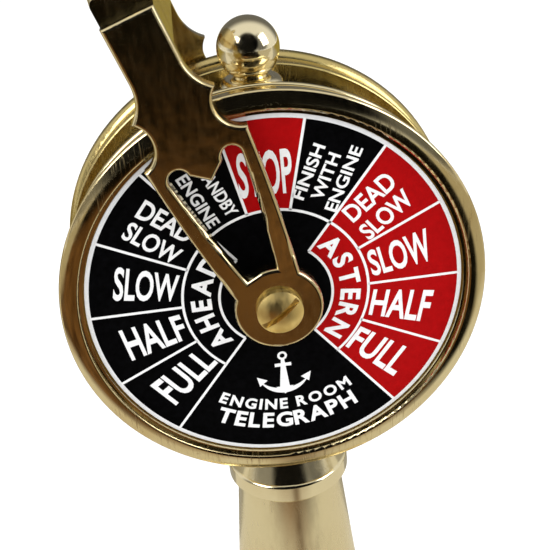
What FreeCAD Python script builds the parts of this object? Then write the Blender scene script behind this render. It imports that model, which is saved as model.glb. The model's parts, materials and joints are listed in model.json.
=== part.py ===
"""A desk-size ship's engine order telegraph, turned and cast in brass.

A short drum with a printed dial at each end stands on a turned pedestal. Two
fork-shaped levers, one over each dial, are joined above the drum by a bridge
and a handle, and turn together on one axle. Millimetres and degrees.

+Z is up, -Y is the front dial's side and the origin is the middle of the
foot's underside.
"""
import FreeCAD, Part
import Sketcher
import math
import os
from types import SimpleNamespace

Vector = FreeCAD.Vector
doc = FreeCAD.newDocument("engine_telegraph")

# ---------------------------------------------------------------------------
# Driving dimensions
# ---------------------------------------------------------------------------
SIZES = {
    # the drum
    "axle_height": (136.0, "foot's underside to the axle's centre line"),
    "drum_depth": (32.0, "front of one bezel to the front of the other"),
    "card_radius": (39.3, "printed dial"),
    "card_thick": (0.4, "printed dial"),
    "card_gap": (0.3, "round the printed dial, inside the bezel's lip"),
    "lip_overlap": (1.4, "how far the lip laps over the edge of the dial plate"),
    "lip_width": (0.7, "thin bright lip round the dial"),
    "lip_sink": (1.1, "front of the bezel to the front of the lip"),
    "dial_sink": (2.4, "front of the bezel to the dial plate's face"),
    "plate_thick": (1.5, "brass disc behind each printed dial"),
    "seat_gap": (0.1, "clearance round a piece that drops into a seat"),
    "barrel_wall": (1.5, "wall of the barrel"),
    "bezel_depth": (9.4, "each bezel, front to back"),
    "bezel_skirt": (2.0, "wall of the part of the bezel that sleeves the barrel"),
    "bezel_bead": (0.7, "half the width of the bead at the skirt's edge"),
    "bead_bend": (0.8, "radius of the bead at the skirt's edge"),
    "rim_swell": (2.2, "length of the curve from the skirt out to the rim"),
    "edge_round": (0.8, "radius of the bezel's outer edge"),
    "edge_in": (0.4, "rim to the bezel's broad face"),
    "edge_rise": (0.7, "height of the bezel's rounded outer edge"),
    "face_fall": (0.75, "crest of the broad face to its outer side"),
    "crest_in": (0.6, "rounding from the crest down to the lip"),
    "rim_stand": (1.3, "how far the rim stands out from the skirt"),
    # the axle and what it runs in
    "axle_radius": (4.0, "axle"),
    "square_relief": (0.2, "corners of the axle's squared ends, inside its radius"),
    "square_depth": (1.2, "how far a squared end enters its lever"),
    "running_gap": (0.05, "radial clearance of the axle in its bushes"),
    "bush_wall": (1.5, "wall of a bush"),
    "bush_lap": (1.1, "how far the bush's flange laps over the dial"),
    "bush_tail": (6.0, "how far the bush reaches behind the dial plate"),
    "washer_room": (1.2, "bush to lever, where the spring washer sits"),
    "washer_inset": (0.3, "edge of the bush's flange to the edge of the spring washer"),
    "washer_sheet": (0.35, "spring washer, thickness"),
    "washer_slack": (0.04, "spring washer to the faces it rubs on"),
    # the levers
    "lever_tilt": (19.5, "the levers' lean from upright, towards ahead"),
    "lever_gap": (1.0, "front of the bezel to the lever's back"),
    "lever_thick": (3.0, "each lever's plate"),
    "lever_round": (0.8, "rounding of the lever's outer edges"),
    "hub_margin": (2.5, "edge of the bush's flange to the edge of the lever's hub"),
    "leg_foot": (7.1, "half the fork's width where it meets the hub"),
    "leg_root": (3.9, "width of each leg where it meets the hub"),
    "leg_width": (3.1, "width of each leg at the scallops"),
    "leg_bow": (0.4, "how far the legs bow outwards between hub and shoulder"),
    "shoulder_half": (10.6, "half the fork's width at the shoulders"),
    "shoulder_inset": (1.3, "edge of the printed dial to the fork's shoulders"),
    "scallop_inset": (4.1, "fork's shoulders to the centres of the two scallops"),
    "scallop_radius": (2.0, "scallops beside the pointer"),
    "pointer_drop": (2.9, "centres of the scallops to the pointer's tip"),
    "bay_radius": (5.3, "hollow between cusp and shoulder"),
    "cusp_half": (8.4, "half the width over the upper cusps"),
    "cusp_stand": (2.9, "bezel's rim to the upper cusps"),
    "flare_tall": (6.8, "upper cusps to where the shank runs straight"),
    "shank_half": (5.2, "half the shank's width"),
    # what joins the levers above the drum
    "ball_clearance": (2.1, "ball to the underside of the bridge"),
    "bridge_deep": (12.5, "bridge's underside to its shoulders"),
    "bridge_rise": (6.0, "bridge's shoulders to the seat under the handle"),
    "bridge_seat": (7.5, "half the length of the seat under the handle"),
    "bridge_round": (1.2, "rounding of the bridge's long edges"),
    "plate_short": (4.7, "top of the levers to the bridge's shoulders"),
    "dowel_radius": (1.2, "dowels between lever and bridge"),
    "dowel_margin": (2.1, "bridge's underside to the lower dowel"),
    "dowel_pitch": (3.4, "from one dowel to the next"),
    "dowel_in_lever": (1.8, "depth of a dowel in its lever"),
    "dowel_in_bridge": (5.0, "depth of a dowel in the bridge"),
    "ferrule_lap": (1.7, "how far the ferrule stands out from the handle's neck"),
    "ferrule_tall": (3.0, "ferrule under the handle"),
    "handle_neck": (3.9, "radius of the handle's neck"),
    "handle_foot": (0.4, "how far the handle's foot stands out from its neck"),
    "handle_belly": (6.2, "radius of the handle's belly"),
    "neck_tall": (4.3, "handle's foot to its neck"),
    "neck_bend": (6.5, "curve from the handle's foot to its neck"),
    "handle_tall": (26.0, "handle, above its ferrule"),
    "stud_radius": (2.0, "stud that holds the handle"),
    "stud_reach": (12.0, "depth of the stud in the handle and in the bridge"),
    # the screws at the ends of the axle
    "head_radius": (4.75, "pan head of a pivot screw"),
    "head_tall": (2.9, "pan head of a pivot screw"),
    "head_dome": (8.0, "radius of the pan head's crown"),
    "slot_width": (1.2, "screwdriver slot"),
    "slot_depth": (1.4, "screwdriver slot"),
    "slot_turn": (16.0, "lean of the slot from level"),
    "screw_radius": (2.5, "thread of a pivot screw"),
    "screw_reach": (9.0, "length of the thread in the axle"),
    "thread_gap": (0.05, "radial clearance of a thread in its hole"),
    # the finial
    "flange_radius": (6.4, "flange under the ball"),
    "flange_tall": (2.0, "flange, above the top of the barrel"),
    "flange_crown": (1.5, "height of the flange's rounded top"),
    "flange_flat": (0.8, "flat left on the flange round the ball's foot"),
    "ball_radius": (6.3, "ball on top of the drum"),
    "ball_neck": (3.4, "radius where the ball meets its flange"),
    "neck_lift": (0.2, "flange to the foot of the ball's curve"),
    "stem_radius": (1.5, "ball's threaded stem"),
    "stem_beyond": (1.6, "stem below its nut"),
    "small_nut": (5.5, "across the flats of the stem's nut"),
    "small_nut_tall": (2.4, "stem's nut"),
    # the pedestal
    "collar_gap": (0.5, "bezels' rims to the collar's top"),
    "collar_tall": (12.4, "bezels' rims to the collar's lower edge"),
    "collar_top": (11.4, "radius of the collar's top"),
    "collar_belt": (14.6, "radius of the collar's widest band"),
    "belt_tall": (4.2, "collar's widest band"),
    "belt_round": (0.6, "rounded shoulder above the widest band"),
    "collar_tuck": (1.6, "height of the bevel under the widest band"),
    "collar_lip": (0.5, "collar's lower edge, outside the top of the column"),
    "neck_gap": (0.3, "collar's stem to the bezels on both sides of it"),
    "spigot_long": (5.0, "spigots that centre the column at its two ends"),
    "column_top": (12.6, "radius of the column's top"),
    "column_low": (17.2, "radius of the column where its flare begins"),
    "column_wall": (2.4, "wall of the column"),
    "column_flare": (3.0, "how far the column's foot flares out"),
    "column_flare_tall": (9.0, "height of the column's flare"),
    "foot_radius": (48.0, "foot"),
    "foot_edge": (4.0, "height of the foot's upright edge"),
    "foot_step": (3.0, "rounded step above the upright edge"),
    "foot_ledge": (4.0, "flat ring inside the rounded step"),
    "foot_neck": (2.0, "foot's top, outside the column's foot"),
    "foot_tall": (19.0, "height of the foot"),
    "foot_wall": (3.0, "wall of the hollow foot"),
    "boss_radius": (9.0, "boss inside the foot"),
    "boss_low": (9.5, "foot's underside to the boss"),
    "rod_radius": (2.5, "tie rod through the pedestal"),
    "rod_low": (3.0, "foot's underside to the rod's lower end"),
    "rod_inside": (8.0, "how far the rod stands up inside the drum"),
    "nut_flats": (8.0, "across the flats of the rod's nuts"),
    "nut_tall": (4.0, "rod's nuts"),
    "nut_washer": (6.0, "radius of the washers under the rod's nuts"),
    "nut_washer_thick": (1.0, "washers under the rod's nuts"),
    "hole_gap": (0.15, "radial clearance of the rod and stem in plain holes"),
}


class Size:
    """A number that carries the sheet formula it came from."""

    def __init__(self, value, formula=None):
        self.value = float(value)
        self.formula = formula or repr(float(value))

    def combined(self, other, sign, value):
        return Size(value, "({} {} {})".format(self.formula, sign, size(other).formula))

    def __add__(self, other):
        return self.combined(other, "+", self.value + size(other).value)

    def __sub__(self, other):
        return self.combined(other, "-", self.value - size(other).value)

    def __mul__(self, other):
        return self.combined(other, "*", self.value * size(other).value)

    def __truediv__(self, other):
        return self.combined(other, "/", self.value / size(other).value)

    def __neg__(self):
        return self * -1


def size(amount):
    return amount if isinstance(amount, Size) else Size(amount)


def root(amount):
    """The square root, as a size."""
    return Size(math.sqrt(amount.value), "sqrt({})".format(amount.formula))


def leg_of(long_side, short_side):
    """The other leg of a right triangle with this hypotenuse."""
    return root(long_side * long_side - short_side * short_side)


sheet = doc.addObject("Spreadsheet::Sheet", "Sizes")
for row, (alias, (number, meaning)) in enumerate(SIZES.items(), start=1):
    sheet.set("A{}".format(row), meaning)
    sheet.set("B{}".format(row), str(number))
    sheet.setAlias("B{}".format(row), alias)
doc.recompute()
s = SimpleNamespace(**{alias: Size(number, "Sizes." + alias) for alias, (number, _) in SIZES.items()})

# Sizes that follow from the driving ones, all measured from the axle unless named otherwise
s.lip_radius = s.card_radius + s.card_gap
s.barrel_radius = s.lip_radius + s.lip_overlap
s.barrel_inside = s.barrel_radius - s.barrel_wall
s.rim_radius = s.barrel_radius + s.bezel_skirt + s.rim_stand
s.half_depth = s.drum_depth / 2
s.plate_face = s.half_depth - s.dial_sink
s.plate_back = s.plate_face - s.plate_thick
s.card_face = s.plate_face + s.card_thick
s.lever_back = s.half_depth + s.lever_gap
s.lever_face = s.lever_back + s.lever_thick
s.bush_nose = s.lever_back - s.washer_room
s.bush_radius = s.axle_radius + s.bush_wall
s.bush_flange = s.bush_radius + s.bush_lap
s.hub_radius = s.bush_flange + s.hub_margin
s.flange_top = s.barrel_radius + s.flange_tall
s.ball_up = s.flange_top + s.neck_lift + leg_of(s.ball_radius, s.ball_neck)
s.bridge_low = s.ball_up + s.ball_radius + s.ball_clearance
s.bridge_side = s.bridge_low + s.bridge_deep
s.bridge_top = s.bridge_side + s.bridge_rise
s.plate_top = s.bridge_side - s.plate_short
s.dowel_low = s.bridge_low + s.dowel_margin
s.collar_low = s.axle_height - s.rim_radius - s.collar_tall
s.bezel_back = s.half_depth - s.bezel_depth
s.column_foot = s.column_low + s.column_flare
s.rod_hole = s.rod_radius + s.hole_gap
s.stem_hole = s.stem_radius + s.hole_gap
s.screw_hole = s.screw_radius + s.thread_gap

FRONT, REAR = -1, 1
NEAR = 0.01  # two lengths closer than this are the same
SIDES = {"front": FRONT, "rear": REAR}
parts = []


# ---------------------------------------------------------------------------
# Ways of making a piece
# ---------------------------------------------------------------------------
def bind(thing, path, amount):
    """Tie one property of a document object to a sheet formula."""
    thing.setExpression(path, size(amount).formula)


def piece(thing, label):
    """Keep this object as a sub-part under its own name."""
    thing.Label = label
    parts.append(thing)
    return thing


def new_body(label):
    return piece(doc.addObject("PartDesign::Body", label), label)


def sketch_on(body, role, name, offset=None):
    """A sketch on one of the body's own origin planes, moved out along its normal."""
    sketch = body.newObject("Sketcher::SketchObject", name)
    plane = [feature for feature in body.Origin.OriginFeatures if feature.Role == role][0]
    sketch.AttachmentSupport = [(plane, "")]
    sketch.MapMode = "FlatFace"
    if offset is not None:
        bind(sketch, "AttachmentOffset.Base.z", offset)
    return sketch


def fix(sketch, kind, geometry, point, amount):
    """Hold one coordinate of a sketch point at a size."""
    if amount.value == 0:
        axis = -2 if kind == "DistanceX" else -1
        sketch.addConstraint(Sketcher.Constraint("PointOnObject", geometry, point, axis))
        return
    index = sketch.addConstraint(Sketcher.Constraint(kind, geometry, point, amount.value))
    bind(sketch, "Constraints[{}]".format(index), amount)


def arc_between(start, end, radius):
    """The short arc from start to end; a positive radius turns left."""
    along = end - start
    half = along.Length / 2
    rise = math.sqrt(max(radius * radius - half * half, 0))
    left = Vector(-along.y, along.x, 0).normalize()
    centre = start + along * 0.5 + left * (rise if radius > 0 else -rise)
    first, last = (start, end) if radius > 0 else (end, start)
    angles = [math.atan2(point.y - centre.y, point.x - centre.x) for point in (first, last)]
    circle = Part.Circle(centre, Vector(0, 0, 1), abs(radius))
    return Part.ArcOfCircle(circle, angles[0], angles[1])


def outline(sketch, path):
    """A closed outline through the points of path, each (across, up).

    A point given as (across, up, radius) is reached along an arc instead of a
    straight line, and a positive radius turns left.
    """
    offset = sketch.GeometryCount
    ends = []
    count = len(path)
    for index in range(count):
        here = path[index]
        there = path[(index + 1) % count]
        start = Vector(size(here[0]).value, size(here[1]).value, 0)
        end = Vector(size(there[0]).value, size(there[1]).value, 0)
        if len(there) == 3:
            bend = size(there[2])
            number = sketch.addGeometry(arc_between(start, end, bend.value))
            ends.append((1, 2) if bend.value > 0 else (2, 1))
            rule = Sketcher.Constraint("Radius", number, abs(bend.value))
            constraint = sketch.addConstraint(rule)
            bind(sketch, "Constraints[{}]".format(constraint), bend if bend.value > 0 else -bend)
        else:
            sketch.addGeometry(Part.LineSegment(start, end))
            ends.append((1, 2))
    for index in range(count):
        after = (index + 1) % count
        joint = (offset + index, ends[index][1], offset + after, ends[after][0])
        sketch.addConstraint(Sketcher.Constraint("Coincident", *joint))
        across, up = (size(amount) for amount in path[index][:2])
        fix(sketch, "DistanceX", offset + index, ends[index][0], across)
        fix(sketch, "DistanceY", offset + index, ends[index][0], up)
    return sketch


def circle(sketch, across, up, radius):
    """A circle in a sketch."""
    across, up = size(across), size(up)
    middle = Vector(across.value, up.value, 0)
    number = sketch.addGeometry(Part.Circle(middle, Vector(0, 0, 1), radius.value))
    index = sketch.addConstraint(Sketcher.Constraint("Radius", number, radius.value))
    bind(sketch, "Constraints[{}]".format(index), radius)
    fix(sketch, "DistanceX", number, 3, across)
    fix(sketch, "DistanceY", number, 3, up)
    return sketch


def turned(label, role, path):
    """A piece turned on a lathe: a half section swept round the sketch's upright axis."""
    body = new_body(label)
    sketch = outline(sketch_on(body, role, label + "_section"), path)
    turning = body.newObject("PartDesign::Revolution", label + "_turning")
    turning.Profile = sketch
    turning.ReferenceAxis = (sketch, ["V_Axis"])
    turning.Angle = 360
    return body


def padded(body, sketch, length, both_ways=False):
    """The sketch drawn out to a length, along its normal or half each way."""
    pad = body.newObject("PartDesign::Pad", sketch.Name + "_pad")
    pad.Profile = sketch
    bind(pad, "Length", length)
    pad.SideType = "Symmetric" if both_ways else "One side"
    return pad


def pocketed(body, sketch, depth=None, backwards=False):
    """The sketch cut into the body: to a depth on one side, or right through both ways."""
    pocket = body.newObject("PartDesign::Pocket", sketch.Name + "_pocket")
    pocket.Profile = sketch
    if depth is None:
        pocket.SideType = "Symmetric"
        pocket.Type = "ThroughAll"
    else:
        pocket.SideType = "One side"
        bind(pocket, "Length", depth)
        pocket.Reversed = backwards
    return pocket


def rounded(body, feature, radius, wanted):
    """Round those edges of a feature that the test picks."""
    doc.recompute()
    names = []
    for number, edge in enumerate(feature.Shape.Edges, start=1):
        if wanted(edge):
            names.append("Edge{}".format(number))
    fillet = body.newObject("PartDesign::Fillet", feature.Name + "_round")
    fillet.Base = (feature, names)
    bind(fillet, "Radius", radius)
    return fillet


def rise_of_bend(run, rise):
    """The radius of an arc that starts along the rise and ends this far across."""
    return (run * run + rise * rise) / (run * 2)


def at_axle(thing):
    """Stand a piece of the drum, modelled about the axle, at the axle's height."""
    bind(thing, "Placement.Base.z", s.axle_height)
    return thing


def on_lever(thing):
    """Hang a piece of the lever, modelled upright about the axle, at the lever's lean."""
    thing.Placement = FreeCAD.Placement(Vector(0, 0, 0), FreeCAD.Rotation(Vector(0, -1, 0), 10))
    bind(thing, "Placement.Base.z", s.axle_height)
    bind(thing, "Placement.Rotation.Angle", s.lever_tilt)
    return thing


def cylinder(name, radius, tall, low):
    """An upright cylinder on the centre line, from a height."""
    thing = doc.addObject("Part::Cylinder", name)
    bind(thing, "Radius", radius)
    bind(thing, "Height", tall)
    bind(thing, "Placement.Base.z", low)
    return thing


def lying_cylinder(name, radius, length, up):
    """A cylinder about a line along Y, at a height, reaching as far to each side."""
    thing = doc.addObject("Part::Cylinder", name)
    turn = FreeCAD.Rotation(Vector(1, 0, 0), -90)
    thing.Placement = FreeCAD.Placement(Vector(0, 0, 0), turn)
    bind(thing, "Radius", radius)
    bind(thing, "Height", length)
    bind(thing, "Placement.Base.y", length / -2)
    bind(thing, "Placement.Base.z", up)
    return thing


def boolean(kind, name, base, tool):
    """One solid cut from, joined to or shared with another."""
    thing = doc.addObject("Part::" + kind, name)
    thing.Base = base
    thing.Tool = tool
    return thing


def hex_nut(label, flats, tall, hole, low):
    """A hexagon nut on the centre line, from a height."""
    blank = doc.addObject("Part::Prism", label + "_blank")
    blank.Polygon = 6
    bind(blank, "Circumradius", flats / math.sqrt(3))
    bind(blank, "Height", tall)
    bind(blank, "Placement.Base.z", low)
    return boolean("Cut", label, blank, cylinder(label + "_hole", hole, tall, low))


# ---------------------------------------------------------------------------
# The drum: barrel, bezels, dials and bushes, each modelled about the axle
# ---------------------------------------------------------------------------
def make_barrel():
    """The drum's tube, drilled above for the finial and below for the tie rod."""
    body = turned("barrel", "XY_Plane", [
        (s.barrel_inside, -s.plate_back), (s.barrel_radius, -s.plate_back),
        (s.barrel_radius, s.plate_back), (s.barrel_inside, s.plate_back)])
    top_hole = circle(sketch_on(body, "XY_Plane", "barrel_stem_hole"), 0, 0, s.stem_hole)
    pocketed(body, top_hole, s.rim_radius, backwards=True)
    low_hole = circle(sketch_on(body, "XY_Plane", "barrel_rod_hole"), 0, 0, s.rod_hole)
    pocketed(body, low_hole, s.rim_radius)
    return at_axle(body)


def make_bezel(name, side):
    """A turned ring: skirt over the barrel, rim, broad domed face and thin lip."""
    back = s.bezel_back
    skirt = s.barrel_radius + s.bezel_skirt
    bead = s.bezel_bead
    lip_outer = s.lip_radius + s.lip_width
    lip_face = s.half_depth - s.lip_sink
    crest = lip_outer + s.crest_in
    edge = s.rim_radius - s.edge_in
    edge_face = s.half_depth - s.face_fall
    edge_low = edge_face - s.edge_rise
    broad_face = rise_of_bend(s.face_fall, edge - crest)
    body = turned(name + "_bezel", "XY_Plane", [
        (s.barrel_radius, back * side),
        (skirt, back * side),
        (skirt, (back + bead * 2) * side, s.bead_bend * side),
        (skirt, (edge_low - s.rim_swell) * side),
        (s.rim_radius, edge_low * side, rise_of_bend(s.rim_stand, s.rim_swell) * side),
        (edge, edge_face * side, s.edge_round * side),
        (crest, s.half_depth * side, broad_face * side),
        (lip_outer, (s.half_depth - s.crest_in) * side, s.crest_in * side),
        (lip_outer, lip_face * side),
        (s.lip_radius, lip_face * side),
        (s.lip_radius, s.plate_face * side),
        (s.barrel_radius, s.plate_face * side)])
    return at_axle(body)


def make_dial_plate(name, side):
    """The brass disc that closes the barrel's end, behind the printed dial."""
    rim = s.barrel_radius - s.seat_gap
    body = turned(name + "_dial_plate", "XY_Plane", [
        (s.bush_radius, s.plate_back * side), (rim, s.plate_back * side),
        (rim, s.plate_face * side), (s.bush_radius, s.plate_face * side)])
    return at_axle(body)


def make_dial_card(name, side):
    """The printed dial, laid on its plate inside the bezel's lip."""
    body = turned(name + "_dial_card", "XY_Plane", [
        (s.bush_radius, s.plate_face * side), (s.card_radius, s.plate_face * side),
        (s.card_radius, s.card_face * side), (s.bush_radius, s.card_face * side)])
    return at_axle(body)


def make_bush(name, side):
    """The flanged bush that the axle turns in."""
    bore = s.axle_radius + s.running_gap
    tail = s.plate_back - s.bush_tail
    body = turned(name + "_bush", "XY_Plane", [
        (bore, tail * side), (s.bush_radius, tail * side),
        (s.bush_radius, s.card_face * side), (s.bush_flange, s.card_face * side),
        (s.bush_flange, s.bush_nose * side), (bore, s.bush_nose * side)])
    return at_axle(body)


make_barrel()
for name, side in SIDES.items():
    make_bezel(name, side)
    make_dial_plate(name, side)
    make_dial_card(name, side)
    make_bush(name, side)


# ---------------------------------------------------------------------------
# The finial on top of the drum
# ---------------------------------------------------------------------------
def make_finial():
    """Ball with its stem, the saddle flange it stands on, and the nut inside."""
    ball_foot = s.flange_top + s.neck_lift
    nut_top = leg_of(s.barrel_inside, s.small_nut / math.sqrt(3))
    nut_low = nut_top - s.small_nut_tall
    stem_low = nut_low - s.stem_beyond
    at_axle(turned("finial_ball", "XZ_Plane", [
        (0, stem_low), (s.stem_radius, stem_low), (s.stem_radius, s.flange_top),
        (s.ball_neck, s.flange_top), (s.ball_neck, ball_foot),
        (s.ball_radius, s.ball_up, s.ball_radius), (0, s.ball_up + s.ball_radius, s.ball_radius)]))
    flat = s.ball_neck + s.flange_flat
    crown = rise_of_bend(s.flange_crown, s.flange_radius - flat)
    flange = at_axle(turned("finial_flange", "XZ_Plane", [
        (s.stem_hole, s.barrel_inside), (s.flange_radius, s.barrel_inside),
        (s.flange_radius, s.flange_top - s.flange_crown),
        (flat, s.flange_top, crown),
        (s.stem_hole, s.flange_top)]))
    pocketed(flange, circle(sketch_on(flange, "XZ_Plane", "flange_saddle"), 0, 0, s.barrel_radius))
    nut = hex_nut("finial_nut", s.small_nut, s.small_nut_tall, s.stem_hole, s.axle_height + nut_low)
    piece(nut, "finial_nut")


make_finial()


# ---------------------------------------------------------------------------
# The pedestal: collar, column, foot and the tie rod that holds them together
# ---------------------------------------------------------------------------
def make_collar():
    """The turned collar under the drum, with a stem that fits the barrel between the bezels."""
    spigot = s.column_top - s.column_wall - s.seat_gap
    stem = s.bezel_back - s.neck_gap
    belt_low = s.collar_low + s.collar_tuck
    belt_high = belt_low + s.belt_tall
    top = s.axle_height - s.rim_radius - s.collar_gap
    high = s.axle_height - s.barrel_inside
    body = turned("neck_collar", "XZ_Plane", [
        (s.rod_hole, s.collar_low - s.spigot_long), (spigot, s.collar_low - s.spigot_long),
        (spigot, s.collar_low), (s.column_top + s.collar_lip, s.collar_low),
        (s.collar_belt, belt_low), (s.collar_belt, belt_high - s.belt_round),
        (s.collar_belt - s.belt_round, belt_high, s.belt_round * 2),
        (s.collar_top, top), (stem, top), (stem, high), (s.rod_hole, high)])
    saddle = sketch_on(body, "XZ_Plane", "collar_saddle")
    pocketed(body, circle(saddle, 0, s.axle_height, s.barrel_radius))


def make_column():
    """The hollow tapered column, flared where it stands on the foot."""
    low_inside = s.column_low - s.column_wall
    top_inside = s.column_top - s.column_wall
    flare_top = s.foot_tall + s.column_flare_tall
    edge_top = s.foot_tall + s.column_wall / 2
    climb = flare_top - edge_top
    bend = (s.column_flare * s.column_flare + climb * climb) / (s.column_flare * 2)
    turned("column", "XZ_Plane", [
        (low_inside, s.foot_tall), (s.column_foot, s.foot_tall),
        (s.column_foot, edge_top), (s.column_low, flare_top, -bend),
        (s.column_top, s.collar_low), (top_inside, s.collar_low),
        (top_inside, s.collar_low - s.spigot_long), (low_inside, flare_top)])


def make_foot():
    """The round foot: upright edge, step, hollow curve and neck, hollow beneath."""
    spigot = s.column_low - s.column_wall - s.seat_gap
    neck = s.column_foot + s.foot_neck
    step_top = s.foot_edge + s.foot_step
    step_inner = s.foot_radius - s.foot_step
    ledge_inner = step_inner - s.foot_ledge
    run = ledge_inner - neck
    rise = s.foot_tall - step_top
    bend = (run * run + rise * rise) / (rise * 2)
    ceiling = s.foot_tall - s.foot_wall
    turned("base_foot", "XZ_Plane", [
        (s.rod_hole, s.boss_low), (s.boss_radius, s.boss_low), (s.boss_radius, ceiling),
        (neck - s.foot_wall, ceiling),
        (ledge_inner - s.foot_wall, step_top - s.foot_wall, bend),
        (s.foot_radius - s.foot_wall, s.foot_edge - s.foot_wall / 2),
        (s.foot_radius - s.foot_wall, 0),
        (s.foot_radius, 0), (s.foot_radius, s.foot_edge), (step_inner, step_top, s.foot_step),
        (ledge_inner, step_top), (neck, s.foot_tall, -bend),
        (spigot, s.foot_tall), (spigot, s.foot_tall + s.spigot_long),
        (s.rod_hole, s.foot_tall + s.spigot_long)])


def make_rod():
    """The tie rod with a washer and a nut at each end."""
    drum_floor = s.axle_height - s.barrel_inside
    rod_top = drum_floor + s.rod_inside
    thick = s.nut_washer_thick
    tapped = s.rod_radius + s.thread_gap
    piece(cylinder("tie_rod", s.rod_radius, rod_top - s.rod_low, s.rod_low), "tie_rod")
    washer_low = s.boss_low - thick
    blank = cylinder("foot_washer_blank", s.nut_washer, thick, washer_low)
    hole = cylinder("foot_washer_hole", s.rod_hole, thick, washer_low)
    piece(boolean("Cut", "foot_washer", blank, hole), "foot_washer")
    nut_low = washer_low - s.nut_tall
    piece(hex_nut("foot_nut", s.nut_flats, s.nut_tall, tapped, nut_low), "foot_nut")
    under = drum_floor - s.barrel_wall / 2
    seat = s.axle_height - leg_of(s.barrel_inside, s.nut_washer) + thick
    blank = cylinder("drum_washer_blank", s.nut_washer, seat - under, under)
    bore = lying_cylinder("drum_washer_bore", s.barrel_inside, s.drum_depth, s.axle_height)
    saddle = boolean("Common", "drum_washer_saddle", blank, bore)
    hole = cylinder("drum_washer_hole", s.rod_hole, seat - under, under)
    piece(boolean("Cut", "drum_washer", saddle, hole), "drum_washer")
    piece(hex_nut("drum_nut", s.nut_flats, s.nut_tall, tapped, seat), "drum_nut")


make_collar()
make_column()
make_foot()
make_rod()


# ---------------------------------------------------------------------------
# The lever: axle, two forked plates, bridge and handle, modelled upright
# about the axle and then leant over together
# ---------------------------------------------------------------------------
def both_halves(right_half):
    """A path down or up the right side, then its mirror image back along the left.

    A point on the centre line is used once.
    """
    left_half = []
    for number in range(len(right_half) - 1, -1, -1):
        across, up = right_half[number][:2]
        if size(across).value == 0:
            continue
        following = right_half[number + 1] if number + 1 < len(right_half) else ()
        left_half.append((-size(across), up) + tuple(following[2:]))
    return right_half + left_half


def leg_bend():
    """The radius of the legs' bow, from hub to shoulder."""
    run = s.shoulder_half - s.leg_foot
    rise = s.card_radius - s.shoulder_inset - leg_of(s.hub_radius, s.leg_foot)
    half = root(run * run + rise * rise) / 2
    return rise_of_bend(s.leg_bow, half)


def fork_outline():
    """Shank, cusps, bays, shoulders, bowed legs and round hub."""
    cusp_up = s.rim_radius + s.cusp_stand
    flare = rise_of_bend(s.cusp_half - s.shank_half, s.flare_tall)
    return both_halves([
        (s.shank_half, s.plate_top),
        (s.shank_half, cusp_up + s.flare_tall),
        (s.cusp_half, cusp_up, flare),
        (s.shoulder_half, s.card_radius - s.shoulder_inset, s.bay_radius),
        (s.leg_foot, leg_of(s.hub_radius, s.leg_foot), -leg_bend()),
        (0, -s.hub_radius, -s.hub_radius)])


def window_outline():
    """The opening between the legs, with the pointer between its two scallops."""
    foot = s.leg_foot - s.leg_root
    scallop = s.scallop_radius
    middle = s.shoulder_half - s.leg_width - scallop
    scallop_up = s.card_radius - s.shoulder_inset - s.scallop_inset
    return both_halves([
        (0, s.hub_radius),
        (foot, leg_of(s.hub_radius, foot), -s.hub_radius),
        (middle + scallop, scallop_up, leg_bend()),
        (middle, scallop_up + scallop, scallop),
        (middle - scallop, scallop_up, scallop),
        (0, scallop_up - s.pointer_drop)])


def square_outline(sketch, half):
    """A square about the sketch's origin."""
    return outline(sketch, [(-half, -half), (half, -half), (half, half), (-half, half)])


def dowel_circles(sketch):
    """One circle for each dowel of a lever."""
    for step in range(2):
        circle(sketch, 0, s.dowel_low + s.dowel_pitch * step, s.dowel_radius)
    return sketch


half_square = (s.axle_radius - s.square_relief) / math.sqrt(2)


def make_lever(name, side):
    """One forked plate with its square socket, screw hole and dowel holes."""
    body = new_body(name + "_lever")
    near = s.lever_back if side == FRONT else -s.lever_face
    sketch = sketch_on(body, "XZ_Plane", name + "_fork", near)
    outline(sketch, fork_outline())
    outline(sketch, window_outline())
    pad = padded(body, sketch, s.lever_thick)
    outer_plane = s.lever_face.value * side

    def on_outer_face(edge):
        box = edge.BoundBox
        return abs(box.YMin - outer_plane) < NEAR and abs(box.YMax - outer_plane) < NEAR

    rounded(body, pad, s.lever_round, on_outer_face)
    inner_plane = s.lever_back if side == FRONT else -s.lever_back
    outwards = side == FRONT
    hole = sketch_on(body, "XZ_Plane", name + "_screw_hole", inner_plane)
    pocketed(body, circle(hole, 0, 0, s.screw_hole), s.lever_thick, backwards=outwards)
    socket = sketch_on(body, "XZ_Plane", name + "_socket", inner_plane)
    square_outline(socket, half_square + s.thread_gap)
    pocketed(body, socket, s.square_depth + s.thread_gap, backwards=outwards)
    dowels = dowel_circles(sketch_on(body, "XZ_Plane", name + "_dowel_holes", inner_plane))
    pocketed(body, dowels, s.dowel_in_lever, backwards=outwards)
    return on_lever(body)


def make_axle():
    """The axle through both bushes, squared and tapped at its ends."""
    body = new_body("axle")
    end = s.lever_back + s.square_depth
    shaft = circle(sketch_on(body, "XZ_Plane", "axle_round"), 0, 0, s.axle_radius)
    padded(body, shaft, s.lever_back * 2, both_ways=True)
    square = square_outline(sketch_on(body, "XZ_Plane", "axle_square"), half_square)
    padded(body, square, end * 2, both_ways=True)
    for name, side in SIDES.items():
        hole = sketch_on(body, "XZ_Plane", name + "_tapping", end * -side)
        pocketed(body, circle(hole, 0, 0, s.screw_hole), s.screw_reach, backwards=side == REAR)
    return on_lever(body)


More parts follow.
